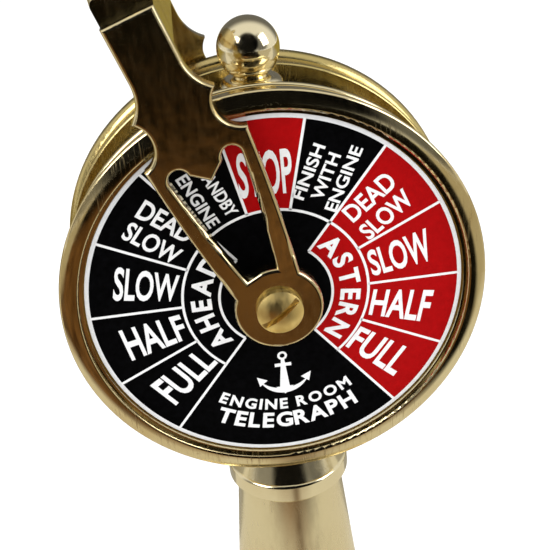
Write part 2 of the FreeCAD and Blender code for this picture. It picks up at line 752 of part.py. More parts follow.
def make_pivot_screw(name, side):
    """A slotted pan-head screw that holds a lever on the axle's end."""
    crown = s.head_dome - leg_of(s.head_dome, s.head_radius)
    tip = s.lever_back + s.square_depth - s.screw_reach + s.hole_gap
    top = s.lever_face + s.head_tall
    body = turned(name + "_pivot_screw", "XY_Plane", [
        (0, tip * side), (s.screw_radius, tip * side),
        (s.screw_radius, s.lever_face * side), (s.head_radius, s.lever_face * side),
        (s.head_radius, (top - crown) * side), (0, top * side, s.head_dome * side)])
    slot = sketch_on(body, "XZ_Plane", name + "_slot")
    half_long = s.head_radius + s.slot_width
    half_wide = s.slot_width / 2
    outline(slot, [
        (-half_long, -half_wide), (half_long, -half_wide),
        (half_long, half_wide), (-half_long, half_wide)])
    turn = FreeCAD.Rotation(Vector(0, 0, 1), SIZES["slot_turn"][0])
    slot.AttachmentOffset = FreeCAD.Placement(Vector(0, 0, 0), turn)
    bind(slot, "AttachmentOffset.Base.z", top * -side)
    bind(slot, "AttachmentOffset.Rotation.Angle", s.slot_turn)
    pocketed(body, slot, s.slot_depth, backwards=side == REAR)
    return on_lever(body)


def make_spring_washer(name, side):
    """A dished washer whose pressure on the bush gives the lever its friction."""
    low = s.bush_nose + s.washer_slack
    high = s.lever_back - s.washer_slack
    inner = s.axle_radius + s.thread_gap
    outer = s.bush_flange - s.washer_inset
    body = turned(name + "_spring_washer", "XY_Plane", [
        (inner, (high - s.washer_sheet) * side), (outer, low * side),
        (outer, (low + s.washer_sheet) * side), (inner, high * side)])
    return on_lever(body)


def make_bridge():
    """The yoke that joins the two levers above the drum and carries the handle."""
    body = new_body("lever_bridge")
    sketch = outline(sketch_on(body, "YZ_Plane", "bridge_side_view"), [
        (-s.lever_back, s.bridge_low), (s.lever_back, s.bridge_low),
        (s.lever_back, s.bridge_side), (s.bridge_seat, s.bridge_top),
        (-s.bridge_seat, s.bridge_top), (-s.lever_back, s.bridge_side)])
    pad = padded(body, sketch, s.shank_half * 2, both_ways=True)
    above = (s.bridge_low + s.bridge_round).value

    def long_and_high(edge):
        box = edge.BoundBox
        sideways = box.XMax - box.XMin < NEAR
        return sideways and box.ZMax > above and box.YMax - box.YMin > NEAR

    rounded(body, pad, s.bridge_round, long_and_high)
    for name, side in SIDES.items():
        holes = sketch_on(body, "XZ_Plane", name + "_bridge_dowels", s.lever_back * -side)
        pocketed(body, dowel_circles(holes), s.dowel_in_bridge, backwards=side == REAR)
    stud = sketch_on(body, "XY_Plane", "bridge_stud_hole", s.bridge_top)
    pocketed(body, circle(stud, 0, 0, s.stud_radius + s.thread_gap), s.stud_reach)
    return on_lever(body)


def make_dowels():
    """Two dowels in each lever, blind from the outside, all in one node."""
    pins = []
    for name, side in SIDES.items():
        inner = s.lever_back - s.dowel_in_bridge
        outer = s.lever_back + s.dowel_in_lever
        start = -inner if side == FRONT else outer
        for step in range(2):
            pin = doc.addObject("Part::Cylinder", "{}_dowel_{}".format(name, step + 1))
            turn = FreeCAD.Rotation(Vector(1, 0, 0), 90)
            pin.Placement = FreeCAD.Placement(Vector(0, 0, 0), turn)
            bind(pin, "Radius", s.dowel_radius)
            bind(pin, "Height", outer - inner)
            bind(pin, "Placement.Base.y", start)
            bind(pin, "Placement.Base.z", s.dowel_low + s.dowel_pitch * step)
            pins.append(pin)
    group = doc.addObject("Part::Compound", "bridge_dowels")
    group.Links = pins
    return on_lever(piece(group, "bridge_dowels"))


def make_handle():
    """Ferrule, turned handle and the stud that holds them on the bridge."""
    bore = s.stud_radius + s.thread_gap
    seat = s.bridge_top
    low = seat + s.ferrule_tall
    ring = s.handle_neck + s.ferrule_lap
    on_lever(turned("handle_ferrule", "XZ_Plane", [
        (bore, seat), (ring, seat), (ring, low, s.ferrule_tall), (bore, low)]))
    neck = low + s.neck_tall
    shoulder = low + s.handle_tall - s.handle_belly
    belly_bend = rise_of_bend(s.handle_belly - s.handle_neck, shoulder - neck)
    on_lever(turned("lever_handle", "XZ_Plane", [
        (bore, low), (s.handle_neck + s.handle_foot, low),
        (s.handle_neck, neck, -s.neck_bend), (s.handle_belly, shoulder, belly_bend),
        (0, shoulder + s.handle_belly, s.handle_belly),
        (0, low + s.stud_reach), (bore, low + s.stud_reach)]))
    stud_low = seat - s.stud_reach + s.thread_gap
    stud_high = low + s.stud_reach - s.thread_gap
    on_lever(turned("handle_stud", "XZ_Plane", [
        (0, stud_low), (s.stud_radius, stud_low), (s.stud_radius, stud_high), (0, stud_high)]))


make_axle()
for name, side in SIDES.items():
    make_lever(name, side)
    make_pivot_screw(name, side)
    make_spring_washer(name, side)
make_bridge()
make_dowels()
make_handle()


# ---------------------------------------------------------------------------
# Build, check and write
# ---------------------------------------------------------------------------
doc.recompute()
failed = [thing.Label for thing in doc.Objects if {"Invalid", "Error"} & set(thing.State)]
if failed:
    raise RuntimeError("these did not build: {}".format(", ".join(failed)))
for thing in parts:
    if thing.Shape.isNull() or not thing.Shape.isValid() or not thing.Shape.Solids:
        raise RuntimeError("{} has no sound solid".format(thing.Label))

os.makedirs("parts", exist_ok=True)
for thing in parts:
    thing.Shape.exportStep("parts/{}.step".format(thing.Label))
    box = thing.Shape.BoundBox
    volume = thing.Shape.Volume / 1000
    print("{:22s} {:8.2f} cm3  {:6.1f} {:6.1f} {:6.1f}".format(
        thing.Label, volume, box.XLength, box.YLength, box.ZLength))
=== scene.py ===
# %% [markdown]
# # A brass ship's engine telegraph
# The drum, levers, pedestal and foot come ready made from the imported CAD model.
# Their shapes are exact and stay as they are, so here they only get their
# finishes. What CAD leaves plain is the printed dial: it is built below, ink by
# ink, and laid on each face of the drum. Everything is in metres, with the foot
# on the floor, +Z up and the front dial facing -Y.

# %% Load the frame
import json
import math

import bpy
from mathutils import Matrix, Vector


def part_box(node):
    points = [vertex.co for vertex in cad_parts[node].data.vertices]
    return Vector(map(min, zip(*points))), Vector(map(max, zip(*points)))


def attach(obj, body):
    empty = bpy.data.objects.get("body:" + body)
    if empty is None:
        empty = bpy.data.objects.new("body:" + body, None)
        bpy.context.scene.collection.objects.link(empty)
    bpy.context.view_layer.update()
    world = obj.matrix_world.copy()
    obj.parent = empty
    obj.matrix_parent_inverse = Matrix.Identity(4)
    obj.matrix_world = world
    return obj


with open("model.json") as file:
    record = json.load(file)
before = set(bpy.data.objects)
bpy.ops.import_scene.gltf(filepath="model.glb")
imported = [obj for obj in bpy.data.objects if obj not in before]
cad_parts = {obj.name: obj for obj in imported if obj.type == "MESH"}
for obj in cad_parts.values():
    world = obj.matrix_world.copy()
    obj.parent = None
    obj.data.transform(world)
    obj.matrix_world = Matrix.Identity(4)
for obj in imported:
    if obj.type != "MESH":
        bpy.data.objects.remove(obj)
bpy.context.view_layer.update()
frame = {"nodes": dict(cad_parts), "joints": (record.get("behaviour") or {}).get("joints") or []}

MM = 0.001
nodes = frame["nodes"]
axle_up = frame["joints"][0]["pos_m"][2]
print("CAD nodes:", len(nodes), "axle height:", round(axle_up / MM, 1), "mm")

# %% [markdown]
# ## Node trees in a few words
# Finishes and the light of the room are both small trees of nodes. Building one
# node by node takes many lines, so this class adds a node, plugs it in and gives
# back its output. Each finish further down then reads like a recipe.

# %% A short way to build node trees
class Tree:
    """A node tree; values may be numbers, colours or the outputs of other nodes."""

    def __init__(self, tree):
        self.tree = tree

    def add(self, kind, **settings):
        """A new node with some of its settings changed."""
        node = self.tree.nodes.new(kind)
        for name, value in settings.items():
            setattr(node, name, value)
        return node

    def feed(self, value, socket):
        """Give a socket its value."""
        if isinstance(value, tuple):
            socket.default_value = (*value, 1)
        elif isinstance(value, (int, float)):
            socket.default_value = value
        else:
            self.tree.links.new(value, socket)

    def maths(self, operation, *values):
        node = self.add("ShaderNodeMath", operation=operation)
        for socket, value in zip(node.inputs, values):
            self.feed(value, socket)
        return node.outputs["Value"]

    def plus(self, first, second):
        return self.maths("ADD", first, second)

    def times(self, first, second):
        return self.maths("MULTIPLY", first, second)

    def ranged(self, source, low, high, new_low, new_high, change="LINEAR"):
        """Stretch the values between low and high to a new range, and stop at its ends."""
        node = self.add("ShaderNodeMapRange", clamp=True, interpolation_type=change)
        values = {"Value": source, "From Min": low, "From Max": high,
                  "To Min": new_low, "To Max": new_high}
        for socket, value in values.items():
            self.feed(value, node.inputs[socket])
        return node.outputs["Result"]

    def mixed(self, share, first, second):
        """The first colour where the share is 0, the second where it is 1."""
        node = self.add("ShaderNodeMix", data_type="RGBA")
        self.feed(share, node.inputs["Factor"])
        colours = [socket for socket in node.inputs if socket.type == "RGBA"]
        for socket, value in zip(colours, (first, second)):
            self.feed(value, socket)
        return [socket for socket in node.outputs if socket.type == "RGBA"][0]


# %% [markdown]
# ### A finish
# A finish is a tree with a principled shader at its end. Its patterns use Object
# coordinates: they are in metres and stay fixed to the piece when the lever
# swings, because every object's own origin is left at zero. A noise of scale 100
# therefore has marks about a hundredth of a metre apart.

# %% Finish
class Finish(Tree):
    """A material, with its shader and the piece's own coordinates."""

    def __init__(self, name, colour, metallic, dullness, **more):
        self.material = bpy.data.materials.new(name)
        self.material.use_nodes = True
        super().__init__(self.material.node_tree)
        self.shader = self.tree.nodes["Principled BSDF"]
        self.put(Base_Color=colour, Metallic=metallic, Roughness=dullness, **more)
        self.place = self.add("ShaderNodeTexCoord").outputs["Object"]

    def put(self, **sockets):
        """Feed the shader; an underscore stands for a space in a socket's name."""
        for name, value in sockets.items():
            self.feed(value, self.shader.inputs[name.replace("_", " ")])

    def mapped(self, source, scale=(1, 1, 1), move=(0, 0, 0), turn=(0, 0, 0)):
        """Coordinates scaled, moved and turned."""
        node = self.add("ShaderNodeMapping")
        node.inputs["Scale"].default_value = scale
        node.inputs["Location"].default_value = move
        node.inputs["Rotation"].default_value = turn
        self.feed(source, node.inputs["Vector"])
        return node.outputs["Vector"]

    def noise(self, source, scale, detail=3, rough=0.55, stir=0):
        """Cloudy values from 0 to 1; the larger the scale, the finer the clouds."""
        node = self.add("ShaderNodeTexNoise")
        values = {"Vector": source, "Scale": scale, "Detail": detail,
                  "Roughness": rough, "Distortion": stir}
        for socket, value in values.items():
            self.feed(value, node.inputs[socket])
        return node.outputs["Fac"]

    def bump(self, height, depth=1.0):
        """Raise the surface by a pattern; depth is how many metres a value of 1 stands for."""
        node = self.add("ShaderNodeBump")
        values = {"Height": height, "Distance": depth, "Strength": 1.0}
        for socket, value in values.items():
            self.feed(value, node.inputs[socket])
        self.put(Normal=node.outputs["Normal"])


def paint(finish, *names):
    """Give CAD nodes this finish in their own material slots."""
    for name in names:
        for slot in nodes[name].material_slots:
            slot.material = finish.material
    print(finish.material.name, "on", len(names), "pieces")


# %% [markdown]
# ### Tool rings
# A lathe leaves fine rings round the axis it turned the piece about. Noise makes
# rings when its coordinates change only along the piece's profile: with height
# for a piece turned upright, and with distance from the axle and place along it
# for a piece turned about the axle.

# %% Coordinates for turned pieces
UPRIGHT, AXLE = "upright", "axle"
HARDLY = 0.02


def along_profile(finish, turned_about):
    if turned_about == UPRIGHT:
        return finish.mapped(finish.place, scale=(HARDLY, HARDLY, 1))
    split = finish.add("ShaderNodeSeparateXYZ")
    finish.feed(finish.mapped(finish.place, move=(0, 0, -axle_up)), split.inputs["Vector"])
    flat = finish.add("ShaderNodeCombineXYZ")
    finish.feed(split.outputs["X"], flat.inputs["X"])
    finish.feed(split.outputs["Z"], flat.inputs["Y"])
    length = finish.add("ShaderNodeVectorMath", operation="LENGTH")
    finish.feed(flat.outputs["Vector"], length.inputs[0])
    along = finish.add("ShaderNodeCombineXYZ")
    finish.feed(length.outputs["Value"], along.inputs["X"])
    finish.feed(split.outputs["Y"], along.inputs["Y"])
    return along.outputs["Vector"]


# %% [markdown]
# ## One recipe for brass
# The metal is the same alloy all over: fresh and bright where it was buffed last,
# with a warmer film of tarnish in clouds, brown flecks where damp has sat, and
# faint smears that change the gloss. What differs is how each piece was worked.
# Turned pieces keep some tool rings, cast ones are wavy like orange peel, and the
# rims have been rubbed with a coarse cloth, which leaves slanting strokes. The
# recipe takes each of these as an amount, so all the pieces can share it.

# %% The recipe
BRIGHT = (0.80, 0.69, 0.42)
WARM = (0.66, 0.51, 0.25)
BROWN = (0.30, 0.19, 0.07)
# How fine each pattern is, as the scale of its noise.
CLOUDS, SPECKS, SMEARS, RINGS, HAIRS, PATCHES = 38, 420, 900, 5200, 2600, 55
SMEAR_SLANT, HAIR_SLANT = 0.7, math.radians(-48)
SHINIER, DULLER = 0.7, 1.7
STROKE_BROWN, STROKE_DULL = 0.55, 0.30


def brushed(finish):
    """Where the slanting strokes are: hair lines, in patches."""
    slanted = finish.mapped(finish.place, scale=(1, 0.3, 0.06), turn=(0, HAIR_SLANT, 0))
    hairs = finish.ranged(finish.noise(slanted, HAIRS, detail=2), 0.55, 0.72, 0, 1)
    patches = finish.ranged(finish.noise(finish.place, PATCHES, detail=2), 0.45, 0.62, 0, 1)
    return finish.times(hairs, patches)


def brass(name, dullness, fresh=BRIGHT, turned_about=None, ring_depth=0.0, peel_depth=0.0,
          peel_size=220, tarnish=0.5, flecks=0.55, stroke_depth=0.0):
    """Brass with these amounts of tarnish and flecks from 0 to 1, and depths in metres."""
    finish = Finish(name, fresh, 1.0, dullness)
    clouds = finish.noise(finish.place, CLOUDS, detail=4, stir=0.4)
    film = finish.mixed(finish.ranged(clouds, 0.42, 0.72, 0, tarnish), fresh, WARM)
    specks = finish.noise(finish.place, SPECKS, detail=5, rough=0.65)
    tone = finish.mixed(finish.ranged(specks, 0.68, 0.78, 0, flecks), film, BROWN)
    streaked = finish.mapped(finish.place, scale=(1, 1, 0.25), turn=(0, SMEAR_SLANT, 0))
    smears = finish.times(clouds, finish.noise(streaked, SMEARS, detail=2))
    dull = finish.ranged(smears, 0.12, 0.42, dullness * SHINIER, dullness * DULLER)
    peel = finish.noise(finish.place, peel_size, detail=2)
    height = finish.ranged(peel, 0, 1, 0, peel_depth)
    if turned_about:
        rings = finish.noise(along_profile(finish, turned_about), RINGS, detail=2, rough=0.6)
        height = finish.plus(height, finish.ranged(rings, 0, 1, 0, ring_depth))
    if stroke_depth:
        strokes = brushed(finish)
        tone = finish.mixed(finish.times(strokes, STROKE_BROWN), tone, BROWN)
        dull = finish.plus(dull, finish.times(strokes, STROKE_DULL))
        height = finish.plus(height, finish.times(strokes, stroke_depth))
    finish.put(Base_Color=tone, Roughness=dull)
    finish.bump(height)
    return finish


print("fresh brass:", BRIGHT, "tarnished:", WARM, "in flecks:", BROWN)

# %% [markdown]
# ### Drum and rims
# The drum's barrel and its two rims were turned together about the axle and
# buffed. Only the rims have strokes. The rear rim is duller, and its brass is
# given a darker olive tone: painted shade, as that rim mirrors less light.

# %% Drum brass
drum_brass = brass("buffed_drum_brass", 0.13, turned_about=AXLE, ring_depth=2.2e-6,
                   peel_depth=1.2e-5, peel_size=90)
bezel_brass = brass("brushed_bezel_brass", 0.11, turned_about=AXLE, ring_depth=1.5e-6,
                    peel_depth=1.2e-5, peel_size=90, tarnish=0.9, stroke_depth=3e-6)
# A darker olive copy of the rim brass: painted shade for the rear rim.
shaded_rear_brass = brass("shaded_olive_bezel_brass", 0.20, fresh=(0.60, 0.48, 0.19), turned_about=AXLE,
                   ring_depth=1.5e-6, peel_depth=2e-5, peel_size=90, tarnish=0.9,
                   stroke_depth=3e-6)
paint(drum_brass, "barrel")
paint(bezel_brass, "front_bezel")
paint(shaded_rear_brass, "rear_bezel")

# %% [markdown]
# ### Levers and screws
# The levers and the handle are sand castings. They are buffed too, but stay faintly
# wavy. The screws and bushes at the axle are handled least: they are brushed, not
# buffed, and more golden than the rest. The plates behind the dial cards, which
# hardly show, are the same.

# %% Cast and brushed brass
cast_brass = brass("buffed_cast_brass", 0.15, peel_depth=1.3e-4, peel_size=150, tarnish=0.9)
screw_brass = brass("brushed_screw_brass", 0.42, fresh=(0.92, 0.70, 0.27), turned_about=AXLE,
                    ring_depth=8e-6, peel_depth=5e-5, peel_size=500)
paint(cast_brass, "front_lever", "rear_lever", "lever_bridge", "lever_handle", "handle_ferrule")
paint(screw_brass, "front_pivot_screw", "rear_pivot_screw", "front_bush", "rear_bush",
      "front_dial_plate", "rear_dial_plate")

# %% [markdown]
# ### Pedestal and ball
# These were turned upright. The ball is what everybody touches and polishes, and
# it is the palest. The neck collar is nearly as bright. The column and foot were
# left satin, so their light runs in broad soft bands.

# %% Brass turned upright
ball_brass = brass("buffed_ball_brass", 0.12, fresh=(0.92, 0.82, 0.56), turned_about=UPRIGHT,
                   ring_depth=1.0e-6, peel_depth=1.5e-5, peel_size=150, tarnish=0.2, flecks=0.2)
collar_brass = brass("buffed_collar_brass", 0.11, fresh=(0.86, 0.76, 0.50),
                     turned_about=UPRIGHT, ring_depth=1.5e-6, peel_depth=2e-5, peel_size=120,
                     tarnish=0.3, flecks=0.3)
satin_brass = brass("satin_pedestal_brass", 0.21, fresh=(0.82, 0.72, 0.46),
                    turned_about=UPRIGHT, ring_depth=3e-6, peel_depth=3e-5, peel_size=60,
                    tarnish=0.15, flecks=0.3)
paint(ball_brass, "finial_ball", "finial_flange")
paint(collar_brass, "neck_collar")
paint(satin_brass, "column", "base_foot")

# %% [markdown]
# ## Steel inside
# The axle, tie rod, nuts, washers and dowels hardly show. They are bright drawn
# steel with a little grey scale left in the grain. The grain is a noise that
# changes ten times more slowly upwards than across, which draws it into lines.

# %% Drawn steel
GRAIN = 1500
CLEAN_STEEL, GREY_SCALE = (0.62, 0.62, 0.60), (0.30, 0.29, 0.28)
steel = Finish("drawn_steel", (0.56, 0.56, 0.55), 1.0, 0.3)
grain = steel.noise(steel.mapped(steel.place, scale=(1, 1, 0.1)), GRAIN, detail=4)
steel.put(Base_Color=steel.mixed(steel.ranged(grain, 0.4, 0.7, 0, 1), CLEAN_STEEL, GREY_SCALE),
          Roughness=steel.ranged(grain, 0.3, 0.7, 0.22, 0.42))
steel.bump(grain, 4e-6)
paint(steel, "axle", "tie_rod", "foot_nut", "foot_washer", "drum_nut", "drum_washer",
      "finial_nut", "bridge_dowels", "handle_stud", "front_spring_washer",
      "rear_spring_washer")

# %% [markdown]
# ## Inks for the dial
# The dial is screen printed: a white card, a black ink, a red ink and a last
# pass of white for the lines and words. Screen ink lies on the card as a real
# layer with a slight mottle, so each ink is its own thin shape with a height, and
# its finish carries the mottle: two near tones, and a shine that varies a little.

# %% Card and inks
MOTTLE = 700


def ink(name, colour, second, dullness, gloss):
    """A matt finish mottled between two tones; gloss is how much it mirrors."""
    finish = Finish(name, colour, 0.0, dullness, Specular_IOR_Level=gloss)
    mottle = finish.noise(finish.place, MOTTLE, detail=4, rough=0.7)
    finish.put(Base_Color=finish.mixed(finish.ranged(mottle, 0.35, 0.7, 0, 1), colour, second),
               Roughness=finish.ranged(mottle, 0.3, 0.7, dullness * 0.9, dullness * 1.2))
    finish.bump(mottle, 6e-6)
    return finish


card_white = ink("card_white", (0.74, 0.75, 0.76), (0.66, 0.67, 0.68), 0.45, 0.4)
ink_black = ink("ink_black", (0.0008, 0.0008, 0.001), (0.002, 0.002, 0.0025), 0.6, 0.02)
ink_red = ink("ink_red", (0.35, 0.0008, 0.0016), (0.29, 0.0006, 0.0012), 0.5, 0.04)
ink_white = ink("ink_white", (0.80, 0.80, 0.80), (0.70, 0.70, 0.70), 0.5, 0.1)
paint(card_white, "front_dial_card", "rear_dial_card")

# %% [markdown]
# ## The dial's layout
# A telegraph's orders sit in eleven equal sectors round the top, with STOP
# upright, astern to the right and ahead to the left, and a wider plain sector
# below. A ring of single words runs inside the orders. All measures are radii
# from the axle. The dial is drawn flat, facing up, and stood against the drum at
# the end. White goes down last and covers the other inks, so it is twice as tall.

# %% Measures of the print
SECTOR = math.radians(25.7)
EDGE = 38.4 * MM
BAND_OUT = 19.45 * MM
BAND_IN = 11.85 * MM
HUB_RING = 7.2 * MM
HOLE = 6.0 * MM
LINE = 0.55 * MM
INK = 0.02 * MM
BLACK_UP, RED_UP, WHITE_UP = 0.0, INK, INK
WHITE_TALL = 2 * INK
print("printed area:", round(2 * EDGE / MM, 1), "mm across, sectors of",
      round(math.degrees(SECTOR), 1), "degrees")

# %% [markdown]
# ### Working on one piece at a time
# Blender's operators act on whatever is selected and active. These helpers select
# one piece, put its scale and place into its mesh, choose some of its vertices by
# a test, and turn its faces up. With them each shape below starts from a known
# state.

# %% Select, settle and turn up
def start_clean():
    if bpy.context.mode != "OBJECT":
        bpy.ops.object.mode_set(mode="OBJECT")
    bpy.ops.object.select_all(action="DESELECT")


def only(piece):
    """Select this piece and nothing else."""
    start_clean()
    bpy.context.view_layer.objects.active = piece
    piece.select_set(True)
    return piece


def open_mesh(piece):
    """Enter edit mode with all of this piece selected."""
    only(piece)
    bpy.ops.object.mode_set(mode="EDIT")
    bpy.ops.mesh.select_all(action="SELECT")


def settle(piece):
    """Put a piece's place, turn and scale into its mesh."""
    only(piece)
    bpy.ops.object.transform_apply(location=True, rotation=True, scale=True)
    return piece


def remove(piece, unwanted):
    """Delete the vertices that pass a test."""
    open_mesh(piece)
    bpy.ops.mesh.select_all(action="DESELECT")
    bpy.ops.object.mode_set(mode="OBJECT")
    for vertex in piece.data.vertices:
        vertex.select = unwanted(vertex.co)
    bpy.ops.object.mode_set(mode="EDIT")
    bpy.ops.mesh.delete(type="VERT")
    bpy.ops.object.mode_set(mode="OBJECT")


def face_up(piece):
    """Turn a flat shape's faces upwards, alike."""
    open_mesh(piece)
    bpy.ops.mesh.normals_make_consistent(inside=False)
    bpy.ops.object.mode_set(mode="OBJECT")
    if piece.data.polygons[0].normal.z < 0:
        bpy.ops.object.mode_set(mode="EDIT")
        bpy.ops.mesh.flip_normals()
        bpy.ops.object.mode_set(mode="OBJECT")
    return piece


# %% [markdown]
# ### The thickness of ink
# Every shape on the dial is drawn flat first. Solidify then gives it the ink's
# thickness, which is simpler than building sides and a top, and the whole shape is
# lifted to lie on the ink below. Shapes of all inks are joined in the end, and
# each keeps its own finish.

# %% Thicken and join
def thicken(piece, height, finish, lift=0.0):
    """Give a flat shape, lying at height zero and facing up, its thickness and finish."""
    only(piece)
    solid = piece.modifiers.new("thickness", "SOLIDIFY")
    solid.thickness = height
    solid.offset = 1
    bpy.ops.object.modifier_apply(modifier=solid.name)
    open_mesh(piece)
    bpy.ops.mesh.normals_make_consistent(inside=False)
    bpy.ops.transform.translate(value=(0, 0, lift))
    bpy.ops.object.mode_set(mode="OBJECT")
    piece.data.materials.clear()
    piece.data.materials.append(finish.material)
    return piece


def joined(pieces, name):
    """Join pieces into the first of them, under a new name."""
    start_clean()
    for piece in pieces:
        piece.select_set(True)
    bpy.context.view_layer.objects.active = pieces[0]
    bpy.ops.object.join()
    pieces[0].name = name
    return pieces[0]


# %% [markdown]
# ### One ink field
# A field is a straight edge swept round the centre with Spin. The edge is what
# is left of a plane when its right-hand half is deleted, and its two ends are
# put at the inner and the outer radius. A step of a degree and a half keeps the
# rim round to the eye. A field that goes all the way round has its seam welded.

# %% Sweep a field
FINE_STEP = math.radians(1.5)
FULL_TURN = 2 * math.pi


def swept(inner, outer, start, end, finish, lift, height=INK):
    """A field between two radii; angles are clockwise from the top."""
    start_clean()
    bpy.ops.mesh.primitive_plane_add(size=1)
    piece = bpy.context.object
    remove(piece, lambda point: point.x > 0)
    for vertex in piece.data.vertices:
        radius = outer if vertex.co.y > 0 else inner
        vertex.co = (radius * math.sin(start), radius * math.cos(start), 0)
    open_mesh(piece)
    steps = max(4, round((end - start) / FINE_STEP))
    bpy.ops.mesh.spin(steps=steps, angle=end - start, center=(0, 0, 0), axis=(0, 0, 1))
    bpy.ops.mesh.select_all(action="SELECT")
    if end - start > FULL_TURN - 0.001:
        bpy.ops.mesh.remove_doubles(threshold=1e-6)
    return thicken(face_up(piece), height, finish, lift)


# %% [markdown]
# ### The coloured fields
# Black covers the whole dial and the red fields lie on it: STOP at the top, which
# starts at the ring of words, and the astern side. Hand is 1 for a dial with
# astern on the right and -1 for one with astern on the left. Everything drawn
# goes into one list, to be joined at the end.

# %% Black and red
layers = []


def coloured_fields(hand):
    astern = sorted((hand * 1.5 * SECTOR, hand * 5.5 * SECTOR))
    layers.append(swept(HOLE, EDGE, 0, FULL_TURN, ink_black, BLACK_UP))
    layers.append(swept(BAND_OUT, EDGE, -SECTOR / 2, SECTOR / 2, ink_red, RED_UP))
    layers.append(swept(BAND_IN, EDGE, *astern, ink_red, RED_UP))
    print("colour fields:", len(layers))


# %% [markdown]
# ### White rules
# The rules between orders are straight bars of even width, so they are planes
# stretched to length rather than spun wedges. The four rules that begin and end
# the ahead and astern sides run on through the ring of words. The arcs are thin
# swept rings.

# %% Lines and arcs
def rule(angle, inner, outer):
    """A straight line outwards from the centre."""
    start_clean()
    middle = (inner + outer) / 2
    place = (middle * math.sin(angle), middle * math.cos(angle), 0)
    bpy.ops.mesh.primitive_plane_add(size=1, location=place)
    bar = bpy.context.object
    bar.scale = (LINE, outer - inner, 1)
    bar.rotation_euler.z = -angle
    settle(bar)
    return thicken(bar, WHITE_TALL, ink_white, WHITE_UP)


def arc(radius, start, end):
    """A curved line about the centre."""
    return swept(radius - LINE / 2, radius + LINE / 2, start, end, ink_white, WHITE_UP,
                 WHITE_TALL)


def rules_and_arcs():
    for step in range(-6, 6):
        inner = BAND_IN if step in (-6, -2, 1, 5) else BAND_OUT
        layers.append(rule((step + 0.5) * SECTOR, inner, EDGE + LINE / 2))
    layers.append(arc(BAND_OUT, -5.5 * SECTOR, 5.5 * SECTOR))
    layers.append(arc(BAND_IN, -5.5 * SECTOR, -1.5 * SECTOR))
    layers.append(arc(BAND_IN, 1.5 * SECTOR, 5.5 * SECTOR))
    layers.append(arc(HUB_RING, 0, FULL_TURN))
    print("with rules and arcs:", len(layers), "shapes")


# %% [markdown]
# ### Words
# Each word is a text object turned into a mesh, scaled to an exact length and
# letter height, and turned to its sector. Blender's own font is light, so the
# outline is first grown a little to a bold weight. Order names widen towards
# the rim like their sector, which is a Simple Deform taper. The taper also bends
# the thickness, so the two heights are made exact again afterwards.

# %% Setting a word
BOLD = 0.022
HEAVY = 0.034


def cut_word(text, weight):
    """The mesh of a word in the built-in font, with its outline grown by a weight."""
    start_clean()
    bpy.ops.object.text_add()
    word = bpy.context.object
    word.data.body = text
    word.data.align_x = "CENTER"
    word.data.offset = weight
    word.data.resolution_u = 4
    word.data.extrude = 0.5
    bpy.ops.object.convert(target="MESH")
    return bpy.context.object


def tapered(word, share):
    """Make a word taller towards one end, and level it again."""
    bend = word.modifiers.new("taper", "SIMPLE_DEFORM")
    bend.deform_method = "TAPER"
    bend.deform_axis = "X"
    bend.factor = share
    bpy.ops.object.modifier_apply(modifier=bend.name)
    for vertex in word.data.vertices:
        below = vertex.co.z < WHITE_UP + WHITE_TALL / 2
        vertex.co.z = WHITE_UP if below else WHITE_UP + WHITE_TALL


def lettering(text, tall, long=None, taper=0.0, weight=BOLD):
    """A white word about the origin, facing up: capital height and, if given, length."""
    word = cut_word(text, weight)
    low = Vector([min(v.co[i] for v in word.data.vertices) for i in range(3)])
    high = Vector([max(v.co[i] for v in word.data.vertices) for i in range(3)])
    size = high - low
    across = long / size.x if long else tall / size.y
    word.scale = (across, tall / size.y, WHITE_TALL / size.z)
    settle(word)
    middle = (low + high) / 2
    word.location = (-middle.x * across, -middle.y * tall / size.y, WHITE_UP + WHITE_TALL / 2)
    open_mesh(settle(word))
    bpy.ops.mesh.remove_doubles(threshold=1e-7)
    bpy.ops.object.mode_set(mode="OBJECT")
    if taper:
        tapered(word, taper)
    word.data.materials.clear()
    word.data.materials.append(ink_white.material)
    return word


def turned_to(word, turn, across, up):
    """Turn a word about the origin and carry it to its place."""
    word.rotation_euler.z = turn
    word.location = (across, up, 0)
    return settle(word)


# %% [markdown]
# ### Orders in their sectors
# An order runs along its sector's middle line and reads from left to right, so
# on the left it starts at the rim and on the right at the hub. Some orders take
# two or three rows. The same rows serve ahead and astern, which is why they are
# tables, with a function that sets them for one sector.

# %% Words along a sector's middle line
# Each row: text, letter height, length, middle radius, offset towards STOP, taper.
SLOW_ROW = [("SLOW", 7.0, 13.1, 26.9, 0, 0.25)]
HALF_ROW = [("HALF", 7.0, 13.1, 26.9, 0, 0.25)]
FULL_ROW = [("FULL", 6.8, 14.0, 26.9, 0, 0.30)]
DEAD_ROWS = [("DEAD", 4.1, 11.8, 28.1, 2.6, 0.10),
             ("SLOW", 4.1, 12.2, 28.0, -2.8, 0.10)]
FINISH_ROWS = [("FINISH", 2.6, 11.9, 27.6, 3.8, 0),
               ("WITH", 2.6, 10.0, 27.8, 0.2, 0),
               ("ENGINE", 2.6, 14.2, 28.4, -3.4, 0)]
STANDBY_ROWS = [("STANDBY", 2.7, 12.8, 26.9, 2.1, 0),
                ("ENGINE", 2.7, 12.4, 26.7, -2.2, 0)]
STOP_TALL, STOP_LONG, STOP_UP = 9.5 * MM, 10.7 * MM, 27.3 * MM


def along_sector(step, rows):
    """Set rows in the sector that many steps clockwise from STOP."""
    angle = step * SECTOR
    outwards = Vector((math.sin(angle), math.cos(angle)))
    reading = outwards if step > 0 else -outwards
    above = Vector((-reading.y, reading.x))
    turn = math.atan2(reading.y, reading.x)
    for text, tall, long, radius, offset, taper in rows:
        word = lettering(text, tall * MM, long * MM, taper if step > 0 else -taper)
        place = outwards * (radius * MM) + above * (offset * MM)
        layers.append(turned_to(word, turn, *place))


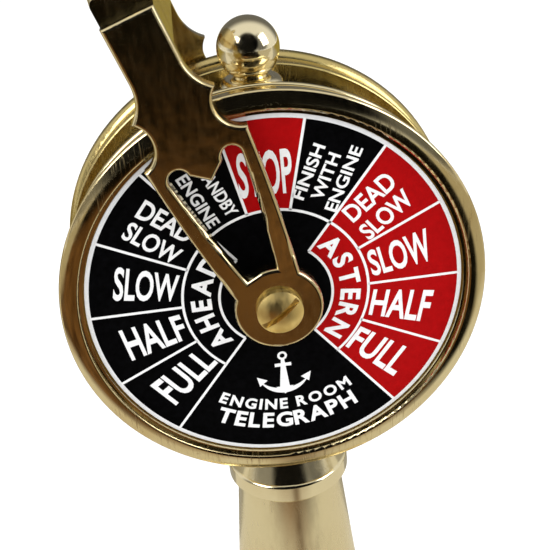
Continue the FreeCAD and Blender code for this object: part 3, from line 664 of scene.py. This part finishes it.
def order_words(hand):
    """All the orders, with FINISH WITH ENGINE on the astern side."""
    for side in (-1, 1):
        along_sector(2 * side, DEAD_ROWS)
        along_sector(3 * side, SLOW_ROW)
        along_sector(4 * side, HALF_ROW)
        along_sector(5 * side, FULL_ROW)
    along_sector(hand, FINISH_ROWS)
    along_sector(-hand, STANDBY_ROWS)
    layers.append(turned_to(lettering("STOP", STOP_TALL, STOP_LONG), 0, 0, STOP_UP))
    print("with orders:", len(layers), "shapes")


# %% [markdown]
# ### Words on a curve
# AHEAD and ASTERN follow their band, and two rows follow the rim below. Here
# each letter is set by itself, a step round the circle for its own width. Letters
# with a slanting side, such as A and R, look too far from their neighbours when
# they are spaced by their full width, so they count as a little narrower.

# %% Letters round a circle
SNUG = {"A": 0.84, "R": 0.84}
WORD_SPACE = 0.3


def width_of(word):
    places = [vertex.co.x for vertex in word.data.vertices]
    return max(places) - min(places)


def letter_and_width(character, tall, squeeze):
    """One letter and the width it takes up; a space has a width only."""
    if character == " ":
        return None, tall * WORD_SPACE
    letter = lettering(character, tall, weight=HEAVY)
    letter.scale.x = squeeze
    settle(letter)
    return letter, width_of(letter) * SNUG.get(character, 1)


def round_circle(text, tall, squeeze, radius, middle, span, tops_out=True):
    """Letters spread over an arc of length span about the angle middle."""
    letters = [letter_and_width(character, tall, squeeze) for character in text]
    gap = (span - sum(width for _, width in letters)) / (len(letters) - 1)
    way = 1 if tops_out else -1
    angle = middle - way * span / 2 / radius
    for letter, width in letters:
        angle += way * width / 2 / radius
        if letter is not None:
            turn = -angle if tops_out else math.pi - angle
            place = (radius * math.sin(angle), radius * math.cos(angle))
            layers.append(turned_to(letter, turn, *place))
        angle += way * (width / 2 + gap) / radius


# %% [markdown]
# The band's words stand with their tops towards the rim. The two rows at the
# bottom stand the other way up, tops towards the hub, so that they read upright.

# %% The curved words
BAND_MIDDLE = (BAND_IN + BAND_OUT) / 2
BAND_TALL, BAND_SQUEEZE = 4.3 * MM, 0.98
ROOM_TALL, ROOM_RADIUS = 2.8 * MM, 27.4 * MM
TELEGRAPH_TALL, TELEGRAPH_RADIUS = 4.0 * MM, 31.7 * MM
FOOT_SQUEEZE = 1.02
BOTTOM = math.pi


def curved_words(hand):
    """AHEAD and ASTERN in the band, and the instrument's own name at the bottom."""
    astern = hand * 3.5 * SECTOR
    round_circle("AHEAD", BAND_TALL, BAND_SQUEEZE, BAND_MIDDLE, -astern, 22.6 * MM)
    round_circle("ASTERN", BAND_TALL, BAND_SQUEEZE, BAND_MIDDLE, astern, 25.0 * MM)
    round_circle("ENGINE ROOM", ROOM_TALL, FOOT_SQUEEZE, ROOM_RADIUS, BOTTOM, 29.8 * MM,
                 tops_out=False)
    round_circle("TELEGRAPH", TELEGRAPH_TALL, FOOT_SQUEEZE, TELEGRAPH_RADIUS, BOTTOM, 31.6 * MM,
                 tops_out=False)
    print("with curved words:", len(layers), "shapes")


print("band words on a radius of", round(BAND_MIDDLE / MM, 2), "mm")

# %% [markdown]
# ### A small anchor
# The plain sector carries an anchor. It is drawn here from scratch: a swept ring,
# a shank and stock that are stretched planes, and two arms. The arms are a
# crescent, made by bridging a shallow arc to a deeper one. Where two white shapes
# overlap, equal heights would flicker, so each stands a hair above the one below.

# %% Parts of the anchor
OVERLAP = 0.003 * MM
ARC_POINTS = 132


def white_shape(shape, above):
    """Thicken a flat shape in white ink, some hairs above plain white."""
    return thicken(shape, WHITE_TALL + OVERLAP * above, ink_white, WHITE_UP)


def flat_arc(radius, centre_up, reach):
    """A row of vertices along the arc under a centre, as far as reach to either side."""
    start_clean()
    bpy.ops.mesh.primitive_circle_add(vertices=ARC_POINTS, radius=radius,
                                      location=(0, centre_up, 0))
    arc = settle(bpy.context.object)
    half = math.asin(reach / radius)
    remove(arc, lambda point: abs(math.atan2(point.x, centre_up - point.y)) > half)
    return arc


def upright_bar(low, high, low_width, high_width, above):
    """A bar on the centre line, which may be narrower at one end."""
    start_clean()
    bpy.ops.mesh.primitive_plane_add(size=1)
    shape = bpy.context.object
    for vertex in shape.data.vertices:
        top = vertex.co.y > 0
        width = high_width if top else low_width
        vertex.co = (math.copysign(width / 2, vertex.co.x), high if top else low, 0)
    return white_shape(shape, above)


def point(across, up, size, wide, turn, above):
    """A small triangle that points up before it is turned."""
    start_clean()
    bpy.ops.mesh.primitive_circle_add(vertices=3, radius=size, fill_type="NGON")
    shape = bpy.context.object
    shape.scale.x = wide
    shape.rotation_euler.z = turn
    shape.location = (across, up, 0)
    return white_shape(face_up(settle(shape)), above)


# %% [markdown]
# The parts are joined up here. All heights are measured up from the axle, so in
# the plain sector they are below zero.

# %% The whole anchor
RING_UP, RING_HOLE, RING_RIM = -14.9 * MM, 0.55 * MM, 1.05 * MM
SHANK_LOW, SHANK_HIGH = -24.1 * MM, -15.7 * MM
SHANK_FOOT, SHANK_NECK = 2.4 * MM, 0.7 * MM
STOCK_LOW, STOCK_HIGH, STOCK_LONG = -17.6 * MM, -16.8 * MM, 3.6 * MM
UPPER_ARC, UPPER_CENTRE = 7.0 * MM, -16.3 * MM
LOWER_ARC, LOWER_CENTRE = 5.6 * MM, -18.9 * MM
REACH = 5.2 * MM
FLUKE_ACROSS, FLUKE_UP, FLUKE_SIZE, FLUKE_WIDE = 5.0 * MM, -20.9 * MM, 1.5 * MM, 0.85
FLUKE_TURN = math.radians(38)
CROWN_UP, CROWN_SIZE, CROWN_WIDE = -23.5 * MM, 1.3 * MM, 1.7


def anchor_ring():
    ring = swept(RING_HOLE, RING_RIM, 0, FULL_TURN, ink_white, WHITE_UP, WHITE_TALL)
    ring.location.y = RING_UP
    return settle(ring)


def anchor_arms():
    """A crescent between two arcs."""
    arcs = [flat_arc(UPPER_ARC, UPPER_CENTRE, REACH), flat_arc(LOWER_ARC, LOWER_CENTRE, REACH)]
    crescent = joined(arcs, "crescent")
    open_mesh(crescent)
    bpy.ops.mesh.bridge_edge_loops()
    return white_shape(face_up(crescent), above=0)


def anchor_shape():
    layers.append(upright_bar(SHANK_LOW, SHANK_HIGH, SHANK_FOOT, SHANK_NECK, above=1))
    layers.append(upright_bar(STOCK_LOW, STOCK_HIGH, STOCK_LONG, STOCK_LONG, above=2))
    layers.append(anchor_ring())
    layers.append(anchor_arms())
    for side in (-1, 1):
        layers.append(point(side * FLUKE_ACROSS, FLUKE_UP, FLUKE_SIZE, FLUKE_WIDE,
                            -side * FLUKE_TURN, above=1))
    layers.append(point(0, CROWN_UP, CROWN_SIZE, CROWN_WIDE, math.pi, above=2))
    print("with anchor:", len(layers), "shapes")


print("anchor from", round(RING_UP / MM, 1), "to", round(CROWN_UP / MM, 1), "mm from the axle")

# %% [markdown]
# ### Standing the prints on the drum
# Both levers turn as one, so the two dials have to agree. Seen from its own
# side, the rear dial therefore has ahead and astern changed over: it is drawn
# with the other hand, not copied. Each flat print is joined into one piece and
# stood up in front of its card with its thickness facing out.

# %% Front and rear print
for name, hand, face, turn in (
        ("front_dial_print", 1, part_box("front_dial_card")[0].y, 0),
        ("rear_dial_print", -1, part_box("rear_dial_card")[1].y, math.pi)):
    layers.clear()
    coloured_fields(hand)
    rules_and_arcs()
    order_words(hand)
    curved_words(hand)
    anchor_shape()
    piece = joined(layers, name)
    piece.rotation_euler = (math.pi / 2, 0, turn)
    piece.location = (0, face, axle_up)
    settle(piece)
    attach(piece, "root")
    print(piece.name, len(piece.data.polygons), "faces at y =", round(face / MM, 2), "mm")

# %% [markdown]
# ## A pale floor
# Polished metal shows its surroundings, so the surroundings matter as much as
# the finish. The telegraph stands on a plain pale floor, which gives its
# underside soft light. The floor glows a little, so that it stays even and
# nearly white as far as the eye can see.

# %% Floor
FLOOR_GLOW = 0.12
start_clean()
bpy.ops.mesh.primitive_plane_add(size=6)
floor = bpy.context.object
floor.name = "floor"
floor_finish = Finish("pale_floor", (0.95, 0.95, 0.95), 0.0, 0.7,
                      Emission_Color=(1, 1, 1), Emission_Strength=FLOOR_GLOW)
floor.data.materials.append(floor_finish.material)
print(floor.name, "glows with a strength of", FLOOR_GLOW)

# %% [markdown]
# ## The camera
# The picture is taken from close by, from above and a touch to the left, with
# the camera rolled a few degrees. Being close makes the drum's near rim large
# and the foot small. The camera's own axes are worked out one by one, and a
# matrix of them turns it.

# %% Camera
AIM_ACROSS, AIM_UP = 1.3 * MM, -2.2 * MM
AZIMUTH, ELEVATION, ROLL = (math.radians(a) for a in (-4.0, 28.0, -5.4))
DISTANCE = 210 * MM
LENS, SENSOR = 62.2, 36
back = Vector((math.sin(AZIMUTH) * math.cos(ELEVATION),
               -math.cos(AZIMUTH) * math.cos(ELEVATION), math.sin(ELEVATION)))
level = Vector((math.cos(AZIMUTH), math.sin(AZIMUTH), 0))
upright = back.cross(level)
right = level * math.cos(ROLL) + upright * math.sin(ROLL)
up = upright * math.cos(ROLL) - level * math.sin(ROLL)
camera_data = bpy.data.cameras.new("camera")
camera_data.lens = LENS
camera_data.sensor_width = SENSOR
camera = bpy.data.objects.new("camera", camera_data)
bpy.context.scene.collection.objects.link(camera)
camera.location = Vector((0, 0, axle_up)) + right * AIM_ACROSS + up * AIM_UP + back * DISTANCE
camera.rotation_mode = "QUATERNION"
camera.rotation_quaternion = Matrix((right, up, back)).transposed().to_quaternion()
bpy.context.scene.camera = camera
print("camera at", [round(x / MM) for x in camera.location], "mm")

# %% [markdown]
# ## The room
# The room is one world that looks different to different rays. To the eye and to
# matt surfaces it is plain white. To shiny metal it is a warm white room with
# dim places: nearly black in front, round the camera, which turns the flat faces
# deep brown, and dimmer behind and to both sides, which shapes the rounds. Each
# dim place is a smooth change with the angle between a ray and a direction.
# The world is not sampled as a lamp, because that would mix the two rooms.

# %% Helpers for the room
world = bpy.data.worlds.new("room")
bpy.context.scene.world = world
world.use_nodes = True
world.cycles.sampling_method = "NONE"
room = Tree(world.node_tree)
room.tree.nodes.clear()
rays = room.add("ShaderNodeTexCoord")


def facing(direction, low, high, before, after):
    """Light that changes as a ray comes to point in a direction; low and high are cosines."""
    dot = room.add("ShaderNodeVectorMath", operation="DOT_PRODUCT")
    dot.inputs[1].default_value = Vector(direction).normalized()
    room.feed(rays.outputs["Generated"], dot.inputs[0])
    return room.ranged(dot.outputs["Value"], low, high, before, after, change="SMOOTHSTEP")


def backdrop(colour, strength):
    node = room.add("ShaderNodeBackground")
    room.feed(colour, node.inputs["Color"])
    room.feed(strength, node.inputs["Strength"])
    return node.outputs["Background"]


# %% [markdown]
# The four dim places are multiplied together, and the light path's Is Glossy Ray
# chooses between the plain room and this one.

# %% Room light
PLAIN_WHITE, WARM_WHITE = (1, 1, 1), (1.0, 0.985, 0.95)
dark_front = facing(back, 0.73, 0.83, 0.82, 0.006)
dim_rear = facing((0, 1, 0.2), 0.35, 0.8, 1.0, 0.18)
dim_left = facing((-0.78, -0.50, 0.32), 0.80, 0.95, 1.0, 0.30)
dim_right = facing((0.70, -0.62, 0.35), 0.82, 0.95, 1.0, 0.18)
glow = room.times(room.times(dark_front, dim_rear), room.times(dim_left, dim_right))
choice = room.add("ShaderNodeMixShader")
path = room.add("ShaderNodeLightPath")
room.feed(path.outputs["Is Glossy Ray"], choice.inputs[0])
room.feed(backdrop(PLAIN_WHITE, 1.0), choice.inputs[1])
room.feed(backdrop(WARM_WHITE, glow), choice.inputs[2])
output = room.add("ShaderNodeOutputWorld")
room.feed(choice.outputs[0], output.inputs["Surface"])
print("room made of", len(room.tree.nodes), "nodes")

# %% [markdown]
# ## Tables in the reflections
# Below the horizon, shiny metal would mirror the white floor. On a real bench it
# would mirror the bench, brown and grey in patches. Two glowing cards just above
# the floor stand for it. Neither the camera nor matt surfaces see them, and they
# throw no shadow, so they only colour the reflections.

# %% A table
TABLE_UP = 0.002
SAND, STONE, NIGHT = (0.50, 0.45, 0.33), (0.74, 0.70, 0.60), (0.005, 0.004, 0.002)
COPPER, UMBER, OLIVE = (0.21, 0.105, 0.040), (0.06, 0.028, 0.010), (0.32, 0.25, 0.06)
ASH = (0.40, 0.38, 0.33)


def table(name, low, high):
    """A card between two corners, and the finish, which still wants its colour."""
    start_clean()
    middle = ((low[0] + high[0]) / 2, (low[1] + high[1]) / 2, TABLE_UP)
    bpy.ops.mesh.primitive_plane_add(size=1, location=middle)
    card = bpy.context.object
    card.name = name
    card.scale = (high[0] - low[0], high[1] - low[1], 1)
    settle(card)
    tone = Finish(name, (0, 0, 0), 0.0, 1.0, Specular_IOR_Level=0.0, Emission_Strength=1.0)
    card.data.materials.append(tone.material)
    card.visible_camera = False
    card.visible_shadow = False
    card.visible_diffuse = False
    return tone


def along_and_across(tone):
    split = tone.add("ShaderNodeSeparateXYZ")
    tone.feed(tone.place, split.inputs["Vector"])
    return split.outputs["X"], split.outputs["Y"]


# %% [markdown]
# The front table is coppery brown where it lies in front of the dial and turns
# nearly black far off and to the right. It is sandy at the sides and stony close
# to the foot, with a darker strip down the middle. Every border is soft: it is a
# range of some distance, given in metres by its two ends.

# %% Front table
FAR_BORDER, RIGHT_BORDER, SIDE_BORDER = (-0.58, -0.48), (0.04, 0.09), (0.14, 0.20)
NEAR_BORDER, STRIP_BORDER = (-0.14, -0.09), (0.003, 0.018)
STRIP_SHARE = 0.28
RAGGED = -0.16
SLANT = 0.5
front = table("front_table", (-2.0, -2.9), (2.0, 0.06))
across, along = along_and_across(front)
ragged = front.times(front.noise(front.place, 14, detail=4), RAGGED)
depth = front.plus(front.plus(along, front.times(across, -SLANT)), ragged)
far = front.ranged(depth, *FAR_BORDER, 1, 0)
right_hand = front.ranged(across, *RIGHT_BORDER, 0, 1)
blots = front.ranged(front.noise(front.place, 16, detail=3), 0.4, 0.62, 0, 1)
brown = front.mixed(front.maths("MAXIMUM", far, right_hand),
                    front.mixed(blots, COPPER, UMBER), NIGHT)
from_middle = front.maths("ABSOLUTE", front.plus(across, 0.07))
outwards = front.plus(from_middle, front.times(along, SLANT))
side = front.ranged(outwards, *SIDE_BORDER, 0, 1)
from_strip = front.maths("ABSOLUTE", front.plus(across, -0.010))
strip = front.ranged(from_strip, *STRIP_BORDER, STRIP_SHARE, 1)
near = front.times(front.ranged(along, *NEAR_BORDER, 0, 1), strip)
front.put(Emission_Color=front.mixed(near, front.mixed(side, brown, SAND), STONE))
print("front table made of", len(front.tree.nodes), "nodes")

# %% [markdown]
# The rear table is simpler: ashen near the foot and olive further back.

# %% Rear table
BACK_BORDER = (0.10, 0.35)
rear = table("rear_table", (-2.0, 0.06), (2.0, 2.9))
behind = rear.ranged(along_and_across(rear)[1], *BACK_BORDER, 0, 1)
rear.put(Emission_Color=rear.mixed(behind, ASH, OLIVE))
print("rear table made of", len(rear.tree.nodes), "nodes")

# %% [markdown]
# ## Soft lights
# Two large soft lamps, like windows to the left and to the right, give the white
# card and the inks an even light and put gentle highlights on the rounds. They
# are weak, because the room gives most of the light. The Standard view keeps the
# dial's white and red as clear as they were painted.

# %% Windows
def softbox(name, place, size, power):
    """A lamp of this size in metres and power in watts, aimed at the axle."""
    data = bpy.data.lights.new(name, "AREA")
    data.shape = "RECTANGLE"
    data.size, data.size_y = size
    data.energy = power
    light = bpy.data.objects.new(name, data)
    light.location = place
    aim = Vector((0, 0, axle_up)) - Vector(place)
    light.rotation_mode = "QUATERNION"
    light.rotation_quaternion = aim.to_track_quat("-Z", "Y")
    bpy.context.scene.collection.objects.link(light)
    print(name, "of", power, "W at", place)


softbox("window_left", (-0.75, -0.45, 0.75), (0.5, 0.5), 4)
softbox("window_right", (0.8, -0.35, 0.6), (0.45, 0.6), 3)
bpy.context.scene.view_settings.view_transform = "Standard"
